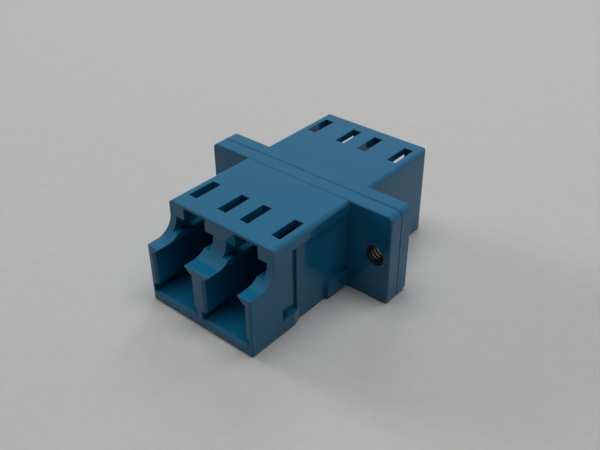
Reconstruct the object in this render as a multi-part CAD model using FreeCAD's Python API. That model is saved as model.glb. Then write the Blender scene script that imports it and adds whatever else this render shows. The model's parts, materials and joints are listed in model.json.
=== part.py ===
import FreeCAD, Part
import math
import os

# Duplex LC fibre adapter: two moulded halves meet at a seam in the middle of a
# mounting flange. Each half has two ports side by side. Between the halves sit two
# sleeve holders, with a split ceramic sleeve on the axis of each pair of ports.
#
# Millimetres. X runs across the flange, Y along the fibres, Z up. While it is built,
# the seam is the plane y = 0 and the underside is z = 0. The finished pieces are
# moved so that the origin is midway between the two ear holes, on the flange's
# panel face.

# Body
body_width = 12.5
body_height = 9.3
top_reach_front = 11.4      # seam to the front edge of the roof
nose_length = 3.0           # how far the walls and floor run on past the roof
rear_reach = 11.0           # seam to the flat rear end
side_edge_radius = 0.2
top_edge_radius = 0.4       # along both sides of the roof
bottom_edge_radius = 0.3
rear_corner_radius = 0.45

# Flange
flange_width = 21.6
flange_thickness = 3.0
flange_proud = 0.05         # how far the flange stands above the roof
ear_corner_radius = 0.55
edge_break = 0.12
seam_bevel = 0.11
ear_hole_inset = 1.7        # from the end of the flange
ear_hole_height = 4.75
gate_mark_radius = 0.16
gate_mark_inset = 1.0       # from the end of the flange

# Ports
port_pitch = 6.25
port_width = 4.65
floor_thickness = 1.05
wall_top = 6.0              # height of the nose walls
rail_top = 6.5              # height of the rails, the floor of the lug channel
rail_overhang = 0.65        # rails reach this far into the port
rail_drop = 0.55            # height of the slope under a rail
shoulder_height = 7.8       # underside of the latch shoulders
roof_thickness = 0.7
roof_lip = 0.25             # thickness of the roof's end over a lever slot
roof_lip_length = 0.55      # from there the roof thickens over this length
lever_slot_width = 2.62
nose_curve_radius = 1.85
port_back = 2.0             # seam to the inner end of the port
mouth_bevel = 0.22
foot_groove_width = 0.5
foot_groove_height = 0.85

# Latch windows in the roof
window_width = 1.0
window_length = 3.05
window_start = 6.72         # seam to the inner end of the windows

# Clip seats in the sides of the front half
seat_depth = 0.35
seat_front = 9.2            # seam to the front step of the seat
seat_height = 8.2
seat_foot_flat = 0.25       # below the hook pocket the step stands this much further back
seat_foot_ramp = 0.95       # and slopes down to the seat over this length
hook_groove_width = 0.92
hook_groove_extra = 0.25    # deeper than the seat
hook_pocket_length = 1.35
hook_pocket_bottom = 1.4
hook_pocket_height = 1.3
stop_length = 2.85          # stop block beside the flange
stop_height = 1.9
stop_corner_radius = 1.0

# Sleeve holders and split sleeves
holder_plate_thickness = 0.8
holder_plate_width = 11.2
holder_plate_height = 4.6
holder_plate_radius = 0.5
holder_tube_radius = 1.3
holder_lip_length = 0.55
holder_lip_radius = 0.69    # at the sleeve's end; the lip widens from there outwards
holder_lead_in = 0.25       # how much wider the lip is at the tube's mouth
holder_clearance = 0.05
sleeve_length = 6.8
sleeve_bore_radius = 0.625
sleeve_wall = 0.185
sleeve_slot = 0.3
sleeve_clearance = 0.04

# Ear bushings and locating pegs
bushing_bore_radius = 0.8   # before its thread is cut
bushing_wall = 0.26
bushing_recess = 0.35       # from each face of the flange
bushing_clearance = 0.01
peg_radius = 0.45
peg_length = 0.9
peg_clearance = 0.05
peg_tip_bevel = 0.15
peg_inset = 0.8             # from the side of the body, out into the ear
peg_height_offset = 2.9     # above and below the ear hole

overcut = 1.0               # how far cutting tools run past the surface they open
same_plane = 1e-6

half_width = body_width / 2
half_flange = flange_thickness / 2
flange_top = body_height + flange_proud
ear_hole_reach = flange_width / 2 - ear_hole_inset
nose_reach = top_reach_front + nose_length
port_centres = (-port_pitch / 2, port_pitch / 2)
fibre_height = floor_thickness + port_width / 2


def vector(x, y, z):
    return FreeCAD.Vector(x, y, z)


def rounded_wire(corners, place):
    """Closed outline through (u, v, radius) corners; place turns (u, v) into a 3-D point.

    A corner with a radius is replaced by the arc that touches both of its sides.
    """
    count = len(corners)
    joints = []
    for index, (u, v, radius) in enumerate(corners):
        corner = FreeCAD.Vector(u, v, 0)
        if radius <= 0:
            joints.append((corner, None, corner))
            continue
        before = FreeCAD.Vector(*corners[index - 1][:2], 0) - corner
        after = FreeCAD.Vector(*corners[(index + 1) % count][:2], 0) - corner
        before.normalize()
        after.normalize()
        half_angle = math.acos(before.dot(after)) / 2
        reach = radius / math.tan(half_angle)
        bisector = before + after
        bisector.normalize()
        crown = corner + bisector * (radius / math.sin(half_angle) - radius)
        joints.append((corner + before * reach, crown, corner + after * reach))
    edges = []
    for index, (start, crown, end) in enumerate(joints):
        if crown is not None:
            edges.append(Part.Arc(place(start), place(crown), place(end)).toShape())
        following = joints[(index + 1) % count][0]
        if end.distanceToPoint(following) > same_plane:
            edges.append(Part.LineSegment(place(end), place(following)).toShape())
    return Part.Wire(edges)


def across(y):
    """Puts an outline of (x, z) in the plane at y."""
    return lambda point: vector(point.x, y, point.y)


def sideways(x):
    """Puts an outline of (y, z) in the plane at x."""
    return lambda point: vector(x, point.x, point.y)


def level(z):
    """Puts an outline of (x, y) in the plane at z."""
    return lambda point: vector(point.x, point.y, z)


def prism_along_y(corners, y_low, y_high):
    face = Part.Face(rounded_wire(corners, across(y_low)))
    return face.extrude(vector(0, y_high - y_low, 0))


def prism_along_x(corners, x_low, x_high):
    face = Part.Face(rounded_wire(corners, sideways(x_low)))
    return face.extrude(vector(x_high - x_low, 0, 0))


def prism_along_z(corners, z_low, z_high):
    face = Part.Face(rounded_wire(corners, level(z_low)))
    return face.extrude(vector(0, 0, z_high - z_low))


def rectangle(u_low, u_high, v_low, v_high, radius=0.0):
    return [
        (u_low, v_low, radius),
        (u_high, v_low, radius),
        (u_high, v_high, radius),
        (u_low, v_high, radius),
    ]


def block(x_low, x_high, y_low, y_high, z_low, z_high):
    return prism_along_y(rectangle(x_low, x_high, z_low, z_high), y_low, y_high)


def rod_along_y(radius, x, z, y_low, y_high):
    return Part.makeCylinder(radius, y_high - y_low, vector(x, y_low, z), vector(0, 1, 0))


def span(toward, near, far):
    """Low and high y of a stretch from near to far, measured from the seam.

    toward is -1 for the front half and 1 for the rear half.
    """
    return sorted((toward * near, toward * far))


def body_section():
    """The body seen end on."""
    return [
        (-half_width, 0, bottom_edge_radius),
        (half_width, 0, bottom_edge_radius),
        (half_width, body_height, top_edge_radius),
        (-half_width, body_height, top_edge_radius),
    ]


def front_side_outline():
    """The front half seen from the side: the nose walls curve up to the roof's edge."""
    return [
        (-nose_reach, 0, side_edge_radius),
        (0, 0, 0),
        (0, body_height, 0),
        (-top_reach_front, body_height, 0),
        (-top_reach_front, wall_top, nose_curve_radius),
        (-nose_reach, wall_top, 0),
    ]


def rear_side_outline():
    """The rear half seen from the side, rounded at the foot of its end."""
    return [
        (0, 0, 0),
        (rear_reach, 0, rear_corner_radius),
        (rear_reach, body_height, 0),
        (0, body_height, 0),
    ]


def body_blank(toward):
    """The solid body of one half: its end, side and top outlines cut from one block."""
    reach = nose_reach if toward < 0 else rear_reach
    corner = side_edge_radius if toward < 0 else rear_corner_radius
    side = front_side_outline() if toward < 0 else rear_side_outline()
    y_end = toward * reach
    plan = [
        (-half_width, 0, 0),
        (-half_width, y_end, corner),
        (half_width, y_end, corner),
        (half_width, 0, 0),
    ]
    blank = prism_along_y(body_section(), *span(toward, 0, reach))
    blank = blank.common(prism_along_x(side, -half_width - overcut, half_width + overcut))
    return blank.common(prism_along_z(plan, -overcut, body_height + overcut))


def edges_in_plane(shape, y):
    """The shape's edges that lie in the plane at y."""
    found = []
    for edge in shape.Edges:
        box = edge.BoundBox
        if max(abs(box.YMin - y), abs(box.YMax - y)) < same_plane:
            found.append(edge)
    return found


def flange_half(toward):
    """Half the flange's thickness, bevelled at the seam and eased at its outer face."""
    outline = rectangle(-flange_width / 2, flange_width / 2, 0, flange_top, ear_corner_radius)
    plate = prism_along_y(outline, *span(toward, 0, half_flange))
    plate = plate.makeChamfer(seam_bevel, edges_in_plane(plate, 0))
    return plate.makeFillet(edge_break, edges_in_plane(plate, toward * half_flange))


def port_section(centre):
    """A port seen end on: a square for the plug, then the lug channel above the rails."""
    wall = port_width / 2
    rail = wall - rail_overhang
    right = [
        (wall, floor_thickness),
        (wall, wall_top - rail_drop),
        (rail, wall_top),
        (rail, rail_top),
        (wall, rail_top),
        (wall, shoulder_height),
    ]
    left = [(-x, z) for x, z in reversed(right)]
    return [(centre + x, z, 0) for x, z in right + left]


def lever_slot(toward, centre):
    """The slot for a plug's lever between the shoulders; the roof over it thins at its end."""
    roof_end = top_reach_front if toward < 0 else rear_reach
    end = nose_reach + overcut
    low = shoulder_height - overcut
    outline = [
        (toward * port_back, low, 0),
        (toward * end, low, 0),
        (toward * end, body_height - roof_lip, 0),
        (toward * roof_end, body_height - roof_lip, 0),
        (toward * (roof_end - roof_lip_length), body_height - roof_thickness, 0),
        (toward * port_back, body_height - roof_thickness, 0),
    ]
    slot_half = lever_slot_width / 2
    return prism_along_x(outline, centre - slot_half, centre + slot_half)


def port_cavity(toward, centre):
    """Everything cut away to make one port, with its lever slot and latch windows."""
    reach = nose_reach if toward < 0 else rear_reach
    y_span = span(toward, port_back, reach + overcut)
    cavity = prism_along_y(port_section(centre), *y_span)
    cavity = cavity.fuse(lever_slot(toward, centre))
    slot_half = lever_slot_width / 2
    window_span = span(toward, window_start, window_start + window_length)
    for side in (-1, 1):
        x_span = sorted((centre + side * slot_half, centre + side * (slot_half + window_width)))
        cavity = cavity.fuse(
            block(*x_span, *window_span, shoulder_height - overcut, body_height + overcut)
        )
    return cavity


def mouth_lead_in(toward, centre):
    """The bevel round the plug square where a port opens."""
    reach = nose_reach if toward < 0 else rear_reach
    wall = port_width / 2
    top = wall_top - rail_drop
    wide = wall + mouth_bevel
    outer = rectangle(centre - wide, centre + wide, floor_thickness - mouth_bevel, top)
    inner = rectangle(centre - wall, centre + wall, floor_thickness, top)
    wires = [
        rounded_wire(outer, across(toward * reach)),
        rounded_wire(inner, across(toward * (reach - mouth_bevel))),
    ]
    return Part.makeLoft(wires, True, True)


def foot_grooves(centre):
    """Reliefs at both feet of a nose port, as long as the nose."""
    reach = port_width / 2 + foot_groove_width
    return block(
        centre - reach,
        centre + reach,
        -nose_reach - overcut,
        -top_reach_front,
        floor_thickness,
        floor_thickness + foot_groove_height,
    )


def stop_block(side):
    """The block left standing in a seat beside the flange, round at its upper front corner."""
    front = -half_flange - stop_length
    outline = [
        (front, -overcut, 0),
        (0, -overcut, 0),
        (0, stop_height, 0),
        (front, stop_height, stop_corner_radius),
    ]
    return prism_along_x(outline, *sorted((0, side * half_width)))


def seat_foot(side):
    """The foot of the seat's front step, below the hook pocket, which slopes to the seat."""
    seat_floor = side * (half_width - seat_depth)
    ramp_start = -seat_front + seat_foot_flat
    plan = [
        (0, -seat_front, 0),
        (side * half_width, -seat_front, 0),
        (side * half_width, ramp_start, 0),
        (seat_floor, ramp_start + seat_foot_ramp, 0),
        (0, ramp_start + seat_foot_ramp, 0),
    ]
    return prism_along_z(plan, -overcut, hook_pocket_bottom)


def clip_seat(side):
    """The seat for a spring clip in one side of the front half, with its hook pocket."""
    outside = side * (half_width + overcut)
    seat_span = sorted((side * (half_width - seat_depth), outside))
    hook_span = sorted((side * (half_width - seat_depth - hook_groove_extra), outside))
    groove_back = -seat_front + hook_groove_width
    seat = block(*seat_span, -seat_front, -half_flange, -overcut, seat_height)
    seat = seat.cut(stop_block(side)).cut(seat_foot(side))
    groove = block(*hook_span, -seat_front, groove_back, hook_pocket_bottom, seat_height)
    pocket = block(
        *hook_span,
        -seat_front - hook_pocket_length,
        groove_back,
        hook_pocket_bottom,
        hook_pocket_bottom + hook_pocket_height,
    )
    return seat.fuse(groove).fuse(pocket)


def holder_outline(grow):
    """The holder plate's outline, grown by the clearance for its pocket."""
    return rectangle(
        -holder_plate_width / 2 - grow,
        holder_plate_width / 2 + grow,
        fibre_height - holder_plate_height / 2 - grow,
        fibre_height + holder_plate_height / 2 + grow,
        holder_plate_radius + grow,
    )


def holder_room(toward):
    """The pocket for a holder's plate and the holes that its tubes pass through."""
    pocket_span = span(toward, 0, holder_plate_thickness + holder_clearance)
    room = prism_along_y(holder_outline(holder_clearance), *pocket_span)
    hole_radius = holder_tube_radius + holder_clearance
    hole_span = span(toward, 0, port_back + overcut)
    for centre in port_centres:
        room = room.fuse(rod_along_y(hole_radius, centre, fibre_height, *hole_span))
    return room


def peg_places():
    """Centres of the two locating pegs, one in each ear, on opposite corners."""
    for side in (-1, 1):
        yield side * (half_width + peg_inset), ear_hole_height + side * peg_height_offset


def peg(x, z, grow, root):
    """A locating peg from y = root to its tip in front of the seam, or its socket when grown."""
    length = peg_length + grow
    rod = rod_along_y(peg_radius + grow, x, z, -length, root)
    return rod.makeChamfer(peg_tip_bevel, edges_in_plane(rod, -length))


def housing(toward):
    """One moulded half of the adapter with its two ports."""
    half = body_blank(toward).fuse(flange_half(toward))
    for centre in port_centres:
        half = half.cut(port_cavity(toward, centre))
        half = half.cut(mouth_lead_in(toward, centre))
        if toward < 0:
            half = half.cut(foot_grooves(centre))
    half = half.cut(holder_room(toward))
    hole_radius = bushing_bore_radius + bushing_wall + bushing_clearance
    y_span = span(toward, -overcut, half_flange + overcut)
    for side in (-1, 1):
        hole = rod_along_y(hole_radius, side * ear_hole_reach, ear_hole_height, *y_span)
        half = half.cut(hole)
    return half


def front_housing():
    half = housing(-1)
    for side in (-1, 1):
        half = half.cut(clip_seat(side))
    for x, z in peg_places():
        half = half.cut(peg(x, z, peg_clearance, overcut))
    return half.removeSplitter()


def rear_housing():
    half = housing(1)
    for x, z in peg_places():
        half = half.fuse(peg(x, z, 0, half_flange / 2))
    gate_mark = Part.makeCylinder(
        gate_mark_radius,
        2 * gate_mark_radius,
        vector(flange_width / 2 - gate_mark_inset, half_flange, flange_top - gate_mark_radius),
    )
    return half.cut(gate_mark).removeSplitter()


def sleeve_holder(toward):
    """A plate with a tube on each fibre axis; a lip at the tube's end keeps the sleeve in."""
    bore_radius = sleeve_bore_radius + sleeve_wall + sleeve_clearance
    bore_depth = sleeve_length / 2 + sleeve_clearance
    tube_reach = bore_depth + holder_lip_length
    holder = prism_along_y(holder_outline(0), *span(toward, 0, holder_plate_thickness))
    tube_span = span(toward, 0, tube_reach)
    bore_span = span(toward, -overcut, bore_depth)
    for centre in port_centres:
        holder = holder.fuse(rod_along_y(holder_tube_radius, centre, fibre_height, *tube_span))
        holder = holder.cut(rod_along_y(bore_radius, centre, fibre_height, *bore_span))
        lip = Part.makeCone(
            holder_lip_radius + holder_lead_in,
            holder_lip_radius,
            holder_lip_length,
            vector(centre, toward * tube_reach, fibre_height),
            vector(0, -toward, 0),
        )
        holder = holder.cut(lip)
    return holder.removeSplitter()


def split_sleeve(centre):
    """A ceramic tube slit along its top, so that it grips the ferrules."""
    half_length = sleeve_length / 2
    outer_radius = sleeve_bore_radius + sleeve_wall
    tube = rod_along_y(outer_radius, centre, fibre_height, -half_length, half_length)
    tube = tube.cut(rod_along_y(sleeve_bore_radius, centre, fibre_height, -half_length, half_length))
    slit = block(
        centre - sleeve_slot / 2,
        centre + sleeve_slot / 2,
        -half_length,
        half_length,
        fibre_height,
        fibre_height + outer_radius + overcut,
    )
    return tube.cut(slit)


def ear_bushing(side):
    """A metal tube set back in an ear hole from both faces; it holds the screw's thread."""
    x = side * ear_hole_reach
    half_length = half_flange - bushing_recess
    y_span = (-half_length, half_length)
    outer = rod_along_y(bushing_bore_radius + bushing_wall, x, ear_hole_height, *y_span)
    return outer.cut(rod_along_y(bushing_bore_radius, x, ear_hole_height, *y_span))


def pieces():
    return {
        "front_housing": front_housing(),
        "rear_housing": rear_housing(),
        "front_sleeve_holder": sleeve_holder(-1),
        "rear_sleeve_holder": sleeve_holder(1),
        "left_split_sleeve": split_sleeve(port_centres[0]),
        "right_split_sleeve": split_sleeve(port_centres[1]),
        "left_ear_bushing": ear_bushing(-1),
        "right_ear_bushing": ear_bushing(1),
    }


def main():
    os.makedirs("parts", exist_ok=True)
    to_frame = vector(0, half_flange, -ear_hole_height)
    for name, shape in pieces().items():
        shape.translate(to_frame)
        shape.exportStep("parts/" + name + ".step")
        box = shape.BoundBox
        print(
            f"{name}: {len(shape.Solids)} solid, valid {shape.isValid()}, {shape.Volume:.2f} mm3,"
            f" x {box.XMin:.2f} to {box.XMax:.2f}, y {box.YMin:.2f} to {box.YMax:.2f},"
            f" z {box.ZMin:.2f} to {box.ZMax:.2f}"
        )


main()
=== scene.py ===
# %% [markdown]
# # A duplex fibre adapter on a studio table
#
# The object is a thumbnail-sized block of moulded blue plastic, 25 mm long. Two plugs go
# in at each end and meet in the middle. A CAD model already holds every solid piece at
# its real size, so this lesson starts from that model and gives it finishes, a screw
# thread too fine for CAD, a table, soft light and a camera.
#
# One unit is one metre throughout, so a millimetre is 0.001.

# %% Load the model
import bpy
import json
import math
import numpy as np
from mathutils import Matrix, Vector


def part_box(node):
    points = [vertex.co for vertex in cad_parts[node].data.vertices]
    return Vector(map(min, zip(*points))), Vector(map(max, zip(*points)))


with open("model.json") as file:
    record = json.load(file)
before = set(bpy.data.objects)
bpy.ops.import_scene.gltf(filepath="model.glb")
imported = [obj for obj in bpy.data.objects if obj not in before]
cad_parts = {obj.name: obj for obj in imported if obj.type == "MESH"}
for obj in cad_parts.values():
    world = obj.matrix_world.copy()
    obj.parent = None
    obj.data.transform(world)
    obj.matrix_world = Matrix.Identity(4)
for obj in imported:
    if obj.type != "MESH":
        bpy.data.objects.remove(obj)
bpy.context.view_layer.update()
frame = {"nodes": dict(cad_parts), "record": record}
MM = 0.001

nodes = frame["nodes"]
for name in sorted(nodes):
    low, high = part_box(name)
    size = (high - low) / MM
    print(f"{name}: {size.x:.2f} x {size.y:.2f} x {size.z:.2f} mm")

# %% [markdown]
# ## Where things are
#
# Positions could be typed in, but then they would be wrong as soon as the model changed,
# so they come from the model's own boxes. The table is the plane under the housing. The
# two metal bushings stand as far left as right of the middle, so the middle of the right
# one's box gives the place of both.

# %% Places
table_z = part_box("front_housing")[0].z
bushing_low, bushing_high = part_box("right_ear_bushing")
bushing_x = (bushing_low.x + bushing_high.x) / 2
bushing_z = (bushing_low.z + bushing_high.z) / 2
print(f"table at z = {table_z / MM:.2f} mm")
print(f"bushings {bushing_x / MM:.2f} mm left and right, at z = {bushing_z / MM:.2f} mm")

# %% [markdown]
# ## Small helpers for node trees
#
# Every finish below is a graph of shader nodes. Writing each link by hand is long, so
# one helper adds a node, sets its constants and fills its inputs in a single line. An
# input that is given a value keeps that value. An input that is given another node's
# output is linked to it. The other helpers are the few nodes that every finish uses.

# %% Node helpers
def connect(tree, node, inputs):
    """Fills a node's inputs; inputs maps socket names or numbers to values or outputs."""
    for key, value in inputs.items():
        if isinstance(value, bpy.types.NodeSocket):
            tree.links.new(value, node.inputs[key])
        else:
            node.inputs[key].default_value = value


def add(tree, kind, inputs=None, **settings):
    """Adds one shader node with its settings, and fills its inputs as connect does."""
    node = tree.nodes.new("ShaderNode" + kind)
    for key, value in settings.items():
        setattr(node, key, value)
    connect(tree, node, inputs or {})
    return node


def math_node(tree, operation, first, second=0.0):
    """Output of one Math node."""
    return add(tree, "Math", {0: first, 1: second}, operation=operation).outputs[0]


def remap(tree, value, low, high, new_low=0.0, new_high=1.0):
    """Value carried from low..high to new_low..new_high, and held at the ends."""
    inputs = {
        "Value": value,
        "From Min": low,
        "From Max": high,
        "To Min": new_low,
        "To Max": new_high,
    }
    return add(tree, "MapRange", inputs, clamp=True).outputs["Result"]


def noise(tree, place, scale, detail, roughness=0.5):
    """Noise from 0 to 1; each layer of detail is half the size, and weaker by roughness."""
    inputs = {"Vector": place, "Scale": scale, "Detail": detail, "Roughness": roughness}
    return add(tree, "TexNoise", inputs).outputs[0]


def bump(tree, height, distance, strength=1.0, **more_inputs):
    """Normal of a surface raised by height times distance, in metres."""
    inputs = {"Height": height, "Distance": distance, "Strength": strength, **more_inputs}
    return add(tree, "Bump", inputs).outputs[0]


def mix_colour(tree, share, first, second):
    """Output of a colour mix: first where share is 0, second where it is 1.

    A Mix node has one set of sockets for each kind of value, and the colour ones are
    inputs 6 and 7 and output 2.
    """
    return add(tree, "Mix", {0: share, 6: first, 7: second}, data_type="RGBA").outputs[2]


print("node helpers ready")

# %% [markdown]
# ## Groups and materials
#
# An effect that several finishes share is a node group: it is built once, and each
# material places it with its own values. A group puts out colours, masks and normals
# only. The shader stays in the material, and a number that is the same all over, such as
# its index of refraction, is set on the shader itself.

# %% Group and material helpers
def new_group(name, inputs, outputs):
    """An empty shader node group with named sockets, and its two end nodes.

    inputs maps a name to (socket type, starting value); outputs maps a name to a type.
    """
    group = bpy.data.node_groups.new(name, "ShaderNodeTree")
    for label, (kind, value) in inputs.items():
        socket = group.interface.new_socket(
            label, in_out="INPUT", socket_type="NodeSocket" + kind
        )
        socket.default_value = value
    for label, kind in outputs.items():
        group.interface.new_socket(label, in_out="OUTPUT", socket_type="NodeSocket" + kind)
    given = group.nodes.new("NodeGroupInput").outputs
    result = group.nodes.new("NodeGroupOutput")
    return group, given, result


def use_group(tree, group, inputs):
    """Outputs of a node group placed in a material with its own values."""
    return add(tree, "Group", inputs, node_tree=group).outputs


def new_material(name, constants):
    """A material with one Principled shader that has its constants set."""
    material = bpy.data.materials.new(name)
    material.use_nodes = True
    tree = material.node_tree
    shader = tree.nodes["Principled BSDF"]
    connect(tree, shader, constants)
    return material, tree, shader


print("group and material helpers ready")

# %% [markdown]
# ## Effect 1: the moulded skin
#
# Moulded plastic is never quite even. The melt cools in patches a few millimetres wide
# that differ slightly in tone, and the polished steel of the mould leaves a shallow
# orange-peel wave with a finer grain on top. A picture of plastic could be wrapped round
# each piece, but noise in space needs no unwrapping, has no seams and stays sharp up
# close. Noise at three sizes gives all three effects. The group hands back a colour, a
# height and the patches themselves, and each material decides how strongly to use them.

# %% Moulded skin group
def make_skin_group():
    """Tone patches and surface height of a moulded part.

    Colour is the base colour times (1 plus Tone times (patch noise - 0.5)).
    Height is the wave noise plus Grain Share times the grain noise.
    """
    group, given, result = new_group(
        "moulded_skin",
        {
            "Base": ("Color", (0.1, 0.1, 0.1, 1)),
            "Tone": ("Float", 0.1),
            "Patch Scale": ("Float", 180.0),
            "Wave Scale": ("Float", 1100.0),
            "Grain Scale": ("Float", 9000.0),
            "Grain Share": ("Float", 0.3),
        },
        {"Colour": "Color", "Height": "Float", "Patch": "Float"},
    )
    place = add(group, "TexCoord").outputs["Object"]
    patch = noise(group, place, given["Patch Scale"], detail=3.0, roughness=0.55)
    centred = math_node(group, "SUBTRACT", patch, 0.5)
    swing = math_node(group, "MULTIPLY", centred, given["Tone"])
    gain = math_node(group, "ADD", swing, 1.0)
    colour = add(group, "VectorMath", {0: given["Base"], "Scale": gain}, operation="SCALE")
    wave = noise(group, place, given["Wave Scale"], detail=1.0)
    grain = noise(group, place, given["Grain Scale"], detail=2.0)
    fine = math_node(group, "MULTIPLY", grain, given["Grain Share"])
    height = math_node(group, "ADD", wave, fine)
    connect(group, result, {"Colour": colour.outputs[0], "Height": height, "Patch": patch})
    return group


moulded_skin = make_skin_group()
print("moulded skin:", len(moulded_skin.nodes), "nodes")

# %% [markdown]
# ## Effect 2: soft and rubbed edges
#
# No moulded edge is perfectly sharp, and the outer ones get polished by handling. A bevel
# cut into the mesh would change the CAD model, so the edges are rounded in the shading
# alone. The Bevel node looks around a point and averages the directions of the surfaces
# nearby. Where that average differs from the true direction there is an edge. The rounded
# direction makes the edge catch light, and the difference gives a mask for wear, broken
# up by noise so that it does not look drawn on.

# %% Edge group
BREAK_NOISE = (0.35, 0.65)  # wear is weakest below the first and full above the second
BEVEL_SAMPLES = 6


def make_edge_group():
    """Rounded normals and a broken mask along edges.

    Mask is (1 - dot(rounded direction, true direction)) times Gain times a noise that
    runs from Evenness to 1, held to at most 1.
    """
    group, given, result = new_group(
        "worn_edges",
        {
            "Radius": ("Float", 0.1 * MM),
            "Gain": ("Float", 1.5),
            "Evenness": ("Float", 0.4),
            "Break Scale": ("Float", 900.0),
        },
        {"Mask": "Float", "Rounded": "Vector"},
    )
    bevel = add(group, "Bevel", {"Radius": given["Radius"]}, samples=BEVEL_SAMPLES)
    rounded = bevel.outputs[0]
    true = add(group, "NewGeometry").outputs["True Normal"]
    agree = add(group, "VectorMath", {0: rounded, 1: true}, operation="DOT_PRODUCT")
    apart = math_node(group, "SUBTRACT", 1.0, agree.outputs["Value"])
    raw = math_node(group, "MULTIPLY", apart, given["Gain"])
    place = add(group, "TexCoord").outputs["Object"]
    patchy = noise(group, place, given["Break Scale"], detail=3.0)
    broken = remap(group, patchy, *BREAK_NOISE, given["Evenness"], 1.0)
    mask = add(group, "Math", {0: raw, 1: broken}, operation="MULTIPLY", use_clamp=True)
    connect(group, result, {"Mask": mask.outputs[0], "Rounded": rounded})
    return group


worn_edges = make_edge_group()
print("worn edges:", len(worn_edges.nodes), "nodes")

# %% [markdown]
# ## Effect 3: handling marks and dust
#
# Fingers and other parts leave hair-fine rubs, and a little pale dust settles on faces
# that look up. Each mark could be painted where it lies, but they are faint and lie
# everywhere, so a pattern does as well. Rubs are noise stretched sixtyfold along one
# direction, turned through an angle so that they cross the part at a slant. Dust is small
# round specks in a few cells of a Voronoi pattern, kept only where the surface faces up.

# %% Marks group
RUB_TURN = (0.3, 0.2, 0.9)  # radians
RUB_STRETCH = (1.0, 60.0, 60.0)
RUB_NOISE = (0.56, 0.72)  # a rub starts at the first and is full at the second
SPECK_EDGE = (0.05, 0.22)  # distance from a cell's middle, where a speck fades out
SPECK_CHOICE = (0.93, 0.97)  # only cells whose random number is this high have one
FACING_UP = (0.5, 0.95)  # the upward part of a face's direction


def make_marks_group():
    """Masks for fine rubs and for settled dust, both from 0 to 1.

    Dust is speck times chosen cell times upward facing times Dust Amount.
    """
    group, given, result = new_group(
        "marks_and_dust",
        {
            "Rub Scale": ("Float", 60.0),
            "Dust Scale": ("Float", 2600.0),
            "Dust Amount": ("Float", 0.3),
        },
        {"Rubs": "Float", "Dust": "Float"},
    )
    place = add(group, "TexCoord").outputs["Object"]
    turned = add(
        group, "Mapping", {"Vector": place, "Rotation": RUB_TURN, "Scale": RUB_STRETCH}
    )
    streak = noise(group, turned.outputs[0], given["Rub Scale"], detail=2.0)
    rubs = remap(group, streak, *RUB_NOISE)
    cell = add(group, "TexVoronoi", {"Vector": place, "Scale": given["Dust Scale"]}).outputs
    speck = remap(group, cell["Distance"], *SPECK_EDGE, 1.0, 0.0)
    chance = add(group, "SeparateColor", {0: cell["Color"]}).outputs[0]
    chosen = remap(group, chance, *SPECK_CHOICE)
    direction = add(group, "NewGeometry").outputs["Normal"]
    upward = add(group, "SeparateXYZ", {0: direction}).outputs["Z"]
    dust = math_node(group, "MULTIPLY", speck, chosen)
    dust = math_node(group, "MULTIPLY", dust, remap(group, upward, *FACING_UP))
    dust = math_node(group, "MULTIPLY", dust, given["Dust Amount"])
    connect(group, result, {"Rubs": rubs, "Dust": dust})
    return group


marks_and_dust = make_marks_group()
print("marks and dust:", len(marks_and_dust.nodes), "nodes")

# %% [markdown]
# ## Finish 1: blue plastic, glossy and satin
#
# A clear coat over a dull base would shine too, as on a painted part. The housing is
# coloured right through and comes out of a polished mould, so its gloss is that of the
# plastic itself, with no separate coat. Worn edges go slightly paler and duller.
# The rubs only change the roughness, which is why they show where the surface mirrors
# something bright. The sleeve holders inside are the same blue from a rougher mould, so
# one function makes both plastics.

# %% Plastics
HOUSING_BLUE = (0.006, 0.110, 0.215, 1.0)
WORN_BLUE = (0.017, 0.160, 0.290, 1.0)
DUST_GREY = (0.45, 0.46, 0.46, 1.0)
PLASTIC_IOR = 1.42
EDGE_RADIUS = 0.07 * MM
DUST_AMOUNT = 0.1
PATCH_NOISE = (0.3, 0.7)
PATCH_ROUGHNESS = (0.85, 1.2)  # shares of the plastic's own roughness
RUB_ROUGHNESS = 0.03
WEAR_ROUGHNESS = 0.08


def make_plastic(name, roughness, wave_height, tone):
    """Blue moulded plastic; roughness is that of its untouched faces.

    The whole roughness is the patches' share of roughness, plus RUB_ROUGHNESS in rubs
    and WEAR_ROUGHNESS along worn edges.
    """
    material, tree, shader = new_material(name, {"IOR": PLASTIC_IOR})
    skin = use_group(tree, moulded_skin, {"Base": HOUSING_BLUE, "Tone": tone})
    edges = use_group(tree, worn_edges, {"Radius": EDGE_RADIUS})
    marks = use_group(tree, marks_and_dust, {"Dust Amount": DUST_AMOUNT})
    colour = mix_colour(tree, edges["Mask"], skin["Colour"], WORN_BLUE)
    colour = mix_colour(tree, marks["Dust"], colour, DUST_GREY)
    smoothest, dullest = PATCH_ROUGHNESS
    rough = remap(
        tree, skin["Patch"], *PATCH_NOISE, roughness * smoothest, roughness * dullest
    )
    rubbed = math_node(tree, "MULTIPLY", marks["Rubs"], RUB_ROUGHNESS)
    worn = math_node(tree, "MULTIPLY", edges["Mask"], WEAR_ROUGHNESS)
    rough = math_node(tree, "ADD", math_node(tree, "ADD", rough, rubbed), worn)
    normal = bump(tree, skin["Height"], wave_height, Normal=edges["Rounded"])
    connect(tree, shader, {"Base Color": colour, "Roughness": rough, "Normal": normal})
    return material


housing_plastic = make_plastic(
    "housing_plastic", roughness=0.07, wave_height=0.0006 * MM, tone=0.10
)
holder_plastic = make_plastic(
    "holder_plastic", roughness=0.42, wave_height=0.006 * MM, tone=0.20
)
print("plastics:", housing_plastic.name, holder_plastic.name)

# %% [markdown]
# ## Finish 2: white ceramic sleeves
#
# The split sleeves are ground zirconia: dense, white with a warm cast, and smooth with
# faint rings left by the grinding wheel. The rings are a thousandth of a millimetre deep,
# far too fine for a mesh, so they are a bump: a wave pattern whose bands follow each
# other along the sleeve's own axis.

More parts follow.
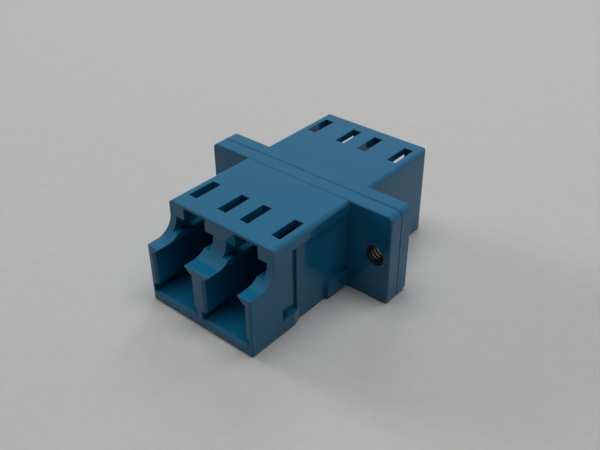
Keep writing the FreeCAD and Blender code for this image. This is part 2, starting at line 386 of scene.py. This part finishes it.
# %% Sleeve ceramic
CERAMIC_WHITE = (0.80, 0.79, 0.74, 1.0)
CERAMIC_WARM = (0.66, 0.64, 0.57, 1.0)
CERAMIC_IOR = 2.1
CERAMIC_ROUGHNESS = (0.12, 0.24)
CLOUD_SCALE = 700.0
WARM_NOISE = (0.4, 0.75)  # the warm tone starts at the first and is full at the second
ROUGH_NOISE = (0.3, 0.7)
RING_SCALE = 4000.0
RING_HEIGHT = 0.001 * MM


def make_ceramic():
    """Ground white ceramic with fine rings across Y and a cloudy warm tone."""
    material, tree, shader = new_material("sleeve_ceramic", {"IOR": CERAMIC_IOR})
    place = add(tree, "TexCoord").outputs["Object"]
    cloud = noise(tree, place, CLOUD_SCALE, detail=3.0)
    warmth = remap(tree, cloud, *WARM_NOISE)
    colour = mix_colour(tree, warmth, CERAMIC_WHITE, CERAMIC_WARM)
    rough = remap(tree, cloud, *ROUGH_NOISE, *CERAMIC_ROUGHNESS)
    rings = add(
        tree,
        "TexWave",
        {"Vector": place, "Scale": RING_SCALE, "Distortion": 1.5, "Detail": 2.0},
        wave_type="BANDS",
        bands_direction="Y",
    ).outputs["Fac"]
    normal = bump(tree, rings, RING_HEIGHT, strength=0.6)
    connect(tree, shader, {"Base Color": colour, "Roughness": rough, "Normal": normal})
    return material


sleeve_ceramic = make_ceramic()
print("ceramic:", sleeve_ceramic.name)

# %% [markdown]
# ## Finish 3: dull plated bushings
#
# A brass bushing sits a little way back in each screw hole. Its nickel plating is
# painted grey-brown and darker than clean plating, as painted shade for the inside of the
# hole, with darker tarnish in random patches. Metal colour carries the tarnish, and the
# same patches raise the roughness. The screw thread could be a coil of mesh, but inside a
# 1.6 mm hole it shows only as light and dark lines, so it is a bump: a wave along the
# bore that gets one pitch further on with each turn.

# %% Bushing metal
# both metal colours are darker than the bare metal: painted shade for the inside of the
# hole
PLATED_IN_PAINTED_SHADE = (0.155, 0.146, 0.128, 1.0)
TARNISH_IN_PAINTED_SHADE = (0.065, 0.057, 0.047, 1.0)
METAL_ROUGHNESS = (0.28, 0.50)  # clean plating, full tarnish
STAIN_SCALE = 1300.0
STAIN_NOISE = (0.42, 0.66)
THREAD_PITCH = 0.4 * MM
THREAD_HEIGHT = 0.020 * MM
THREAD_REACH = (0.84 * MM, 0.90 * MM)


def make_thread(tree, place):
    """Height of a right-hand screw thread in both bores, from -1 to 1.

    Across is x minus the x of the bore on the same side, and climb is z minus the bores'
    z. The height is the sine of (2 pi times y / THREAD_PITCH, plus the angle whose
    tangent is climb / across). It dies away as the distance from the bore's line goes
    through THREAD_REACH.
    """
    axes = add(tree, "SeparateXYZ", {0: place}).outputs
    side = math_node(tree, "SIGN", axes["X"])
    bore_x = math_node(tree, "MULTIPLY", side, bushing_x)
    across = math_node(tree, "SUBTRACT", axes["X"], bore_x)
    climb = math_node(tree, "SUBTRACT", axes["Z"], bushing_z)
    angle = math_node(tree, "ARCTAN2", climb, across)
    along = math_node(tree, "MULTIPLY", axes["Y"], 2.0 * math.pi / THREAD_PITCH)
    wave = math_node(tree, "SINE", math_node(tree, "ADD", along, angle))
    spoke = add(tree, "CombineXYZ", {"X": across, "Z": climb}).outputs[0]
    radius = add(tree, "VectorMath", {0: spoke}, operation="LENGTH").outputs["Value"]
    return math_node(tree, "MULTIPLY", wave, remap(tree, radius, *THREAD_REACH, 1.0, 0.0))


def make_bushing_metal():
    """Nickel-plated brass painted darker as painted shade for the hole, tarnished in
    patches, with a screw thread in each bore.
    """
    material, tree, shader = new_material("bushing_metal", {"Metallic": 1.0})
    place = add(tree, "TexCoord").outputs["Object"]
    stain = remap(tree, noise(tree, place, STAIN_SCALE, detail=4.0), *STAIN_NOISE)
    colour = mix_colour(tree, stain, PLATED_IN_PAINTED_SHADE, TARNISH_IN_PAINTED_SHADE)
    rough = remap(tree, stain, 0.0, 1.0, *METAL_ROUGHNESS)
    normal = bump(tree, make_thread(tree, place), THREAD_HEIGHT)
    connect(tree, shader, {"Base Color": colour, "Roughness": rough, "Normal": normal})
    return material


bushing_metal = make_bushing_metal()
print(f"bushing metal with a thread of {THREAD_PITCH / MM:.1f} mm pitch")

# %% [markdown]
# ## Put the finishes on the model
#
# The record that comes with the model says which finish each piece takes. The meshes
# stay exactly as CAD made them: only the material in each slot changes.

# %% Assign the finishes
finishes = {
    "housing_plastic": housing_plastic,
    "holder_plastic": holder_plastic,
    "sleeve_ceramic": sleeve_ceramic,
    "bushing_metal": bushing_metal,
}
for part in frame["record"]["subparts"]:
    for material_slot in nodes[part["node"]].material_slots:
        material_slot.material = finishes[part["material_slot"]]
    print(part["node"], "->", part["material_slot"])

# %% [markdown]
# ## The table
#
# A small object on a sheet of pale grey card. A backdrop that curves up would hide the
# horizon from one side only. A flat square works from every side, as long as it reaches
# past the edge of every view. The card's own fibres are a faint noise. The lamps are
# close and light only the middle of it, so beyond a hand's width the card fades into a
# plain glow of its own grey, and a low view shows no dark edge. Only what is seen or
# mirrored gets that glow: it sheds no light.

# %% Table
TABLE_REACH = 2.0
TABLE_GREY = (0.460, 0.460, 0.457, 1.0)
TABLE_GREY_SHADE = (0.444, 0.444, 0.441, 1.0)
TABLE_ROUGHNESS = 0.7
FIBRE_SCALE = 900.0
FIBRE_NOISE = (0.35, 0.65)
FIBRE_HEIGHT = 0.006 * MM
FADE_START, FADE_END = 0.10, 0.22
FAR_GREY = (0.43, 0.43, 0.425, 1.0)


def seen_or_mirrored(tree):
    """One for a ray from the eye, from a mirroring face or through glass, else zero."""
    path = add(tree, "LightPath").outputs
    seen = math_node(tree, "MAXIMUM", path["Is Camera Ray"], path["Is Glossy Ray"])
    return math_node(tree, "MAXIMUM", seen, path["Is Transmission Ray"])


def make_card():
    """Pale card that fades into a plain glow of FAR_GREY.

    The share of glow rises with the distance from the origin, from nothing at FADE_START
    to all of it at FADE_END.
    """
    material, tree, shader = new_material("table_card", {"Roughness": TABLE_ROUGHNESS})
    place = add(tree, "TexCoord").outputs["Object"]
    fibre = noise(tree, place, FIBRE_SCALE, detail=4.0)
    shade = remap(tree, fibre, *FIBRE_NOISE)
    colour = mix_colour(tree, shade, TABLE_GREY, TABLE_GREY_SHADE)
    normal = bump(tree, fibre, FIBRE_HEIGHT, strength=0.5)
    connect(tree, shader, {"Base Color": colour, "Normal": normal})
    distance = add(tree, "VectorMath", {0: place}, operation="LENGTH").outputs["Value"]
    fade = remap(tree, distance, FADE_START, FADE_END)
    share = math_node(tree, "MULTIPLY", fade, seen_or_mirrored(tree))
    glow = add(tree, "Emission", {"Color": FAR_GREY, "Strength": 1.0})
    blend = add(tree, "MixShader", {0: share, 1: shader.outputs[0], 2: glow.outputs[0]})
    connect(tree, tree.nodes["Material Output"], {"Surface": blend.outputs[0]})
    return material


def make_table():
    """A square in the plane z = table_z, reaching TABLE_REACH each way from the origin."""
    corners = np.array([[-1, -1], [1, -1], [1, 1], [-1, 1]]) * TABLE_REACH
    points = np.column_stack([corners, np.full(4, table_z)])
    mesh = bpy.data.meshes.new("table")
    mesh.from_pydata(points.tolist(), [], [(0, 1, 2, 3)])
    mesh.materials.append(make_card())
    table = bpy.data.objects.new("table", mesh)
    bpy.context.scene.collection.objects.link(table)


make_table()
print(f"table {2 * TABLE_REACH:.0f} m square")

# %% [markdown]
# ## Light
#
# A bright world alone would light the object evenly, with hardly a shadow, so soft round
# lamps do it instead. Two hang high above, so the top faces are the brightest and the
# shadow stays close. None stands in front, so the open ports stay dark. One is at the
# back, 36 degrees up, one is low on the left, and two weak ones low on the right open the
# shadow there. The plastic doesn't mirror the lamps, which would leave white dots on its
# curves. It mirrors the world, which has the card's own pale grey wherever it is seen or
# mirrored, and sheds hardly any light.

# %% Lamps and world
ROOM_TINT = (0.98, 1.0, 1.0, 1.0)
ROOM_GLOW = 0.03
LAMPS = [  # name, size in metres, watts, azimuth, elevation, distance in metres
    ("left_high_lamp", 0.20, 0.49, 178, 82, 0.35),
    ("right_high_lamp", 0.20, 0.45, 46, 71, 0.35),
    ("back_lamp", 0.20, 0.54, 120, 36, 0.50),
    ("left_lamp", 0.22, 1.88, 188, 16, 0.60),
    ("right_low_lamp", 0.20, 0.68, 68, 9, 0.70),
    ("right_fill_lamp", 0.20, 0.20, 350, 12, 0.70),
]


def make_lamp(name, size, watts, azimuth, elevation, distance):
    """A round area lamp that faces the origin from distance metres away.

    Azimuth is in degrees from +X towards +Y, and elevation in degrees above the table.
    """
    data = bpy.data.lights.new(name, "AREA")
    data.shape = "DISK"
    data.size = size
    data.energy = watts
    turn, rise = math.radians(azimuth), math.radians(elevation)
    level = math.cos(rise)
    outward = Vector((math.cos(turn) * level, math.sin(turn) * level, math.sin(rise)))
    lamp = bpy.data.objects.new(name, data)
    lamp.location = outward * distance
    lamp.rotation_euler = outward.to_track_quat("Z", "Y").to_euler()
    lamp.visible_camera = False
    lamp.visible_glossy = False
    bpy.context.scene.collection.objects.link(lamp)


def make_world():
    """A plain world that lights by ROOM_GLOW, and is seen and mirrored as FAR_GREY."""
    world = bpy.data.worlds.new("studio")
    world.use_nodes = True
    tree = world.node_tree
    room = tree.nodes["Background"]
    connect(tree, room, {"Color": ROOM_TINT, "Strength": ROOM_GLOW})
    plain = add(tree, "Background", {"Color": FAR_GREY, "Strength": 1.0})
    seen = seen_or_mirrored(tree)
    blend = add(tree, "MixShader", {0: seen, 1: room.outputs[0], 2: plain.outputs[0]})
    connect(tree, tree.nodes["World Output"], {"Surface": blend.outputs[0]})
    bpy.context.scene.world = world


for lamp_values in LAMPS:
    make_lamp(*lamp_values)
make_world()
total_watts = sum(watts for name, size, watts, *direction in LAMPS)
print(f"{len(LAMPS)} lamps, {total_watts:.2f} W in all, and a world")

# %% [markdown]
# ## Camera
#
# A long lens from far away would draw the block's edges parallel. A close camera with a
# moderate lens makes the far end look a little smaller than the near end, as the eye sees
# a thing held in the hand. It looks from the front right, 41 degrees round from the
# front, and from 34 degrees above the table. The clip distance has to be far shorter than
# the default, because the object is only a few centimetres away.

# %% Camera
CAMERA_PLACE = Vector((40.55, -46.63, 40.86)) * MM
CAMERA_AZIMUTH = math.radians(40.66)
CAMERA_ELEVATION = math.radians(33.88)
CAMERA_ROLL = math.radians(-0.485)
CAMERA_LENS = 46.69
CLIP_START, CLIP_END = 0.002, 20.0


def make_camera():
    """The camera, from its place, its angles in radians and its lens in millimetres.

    Back points from the object to the camera and right is level. Right and up are then
    turned by the roll about back, which is the line of sight.
    """
    level = math.cos(CAMERA_ELEVATION)
    side, front = math.sin(CAMERA_AZIMUTH), math.cos(CAMERA_AZIMUTH)
    back = Vector((side * level, -front * level, math.sin(CAMERA_ELEVATION)))
    right = Vector((front, side, 0.0))
    up = back.cross(right)
    turned_right = math.cos(CAMERA_ROLL) * right + math.sin(CAMERA_ROLL) * up
    turned_up = math.cos(CAMERA_ROLL) * up - math.sin(CAMERA_ROLL) * right
    data = bpy.data.cameras.new("camera")
    data.lens = CAMERA_LENS
    data.clip_start = CLIP_START
    data.clip_end = CLIP_END
    camera = bpy.data.objects.new("camera", data)
    axes = Matrix((turned_right, turned_up, back)).transposed()
    camera.matrix_world = Matrix.Translation(CAMERA_PLACE) @ axes.to_4x4()
    bpy.context.scene.collection.objects.link(camera)
    bpy.context.scene.camera = camera


make_camera()
bpy.context.scene.view_settings.view_transform = "Standard"
print(f"camera {CAMERA_PLACE.length / MM:.0f} mm from the origin")
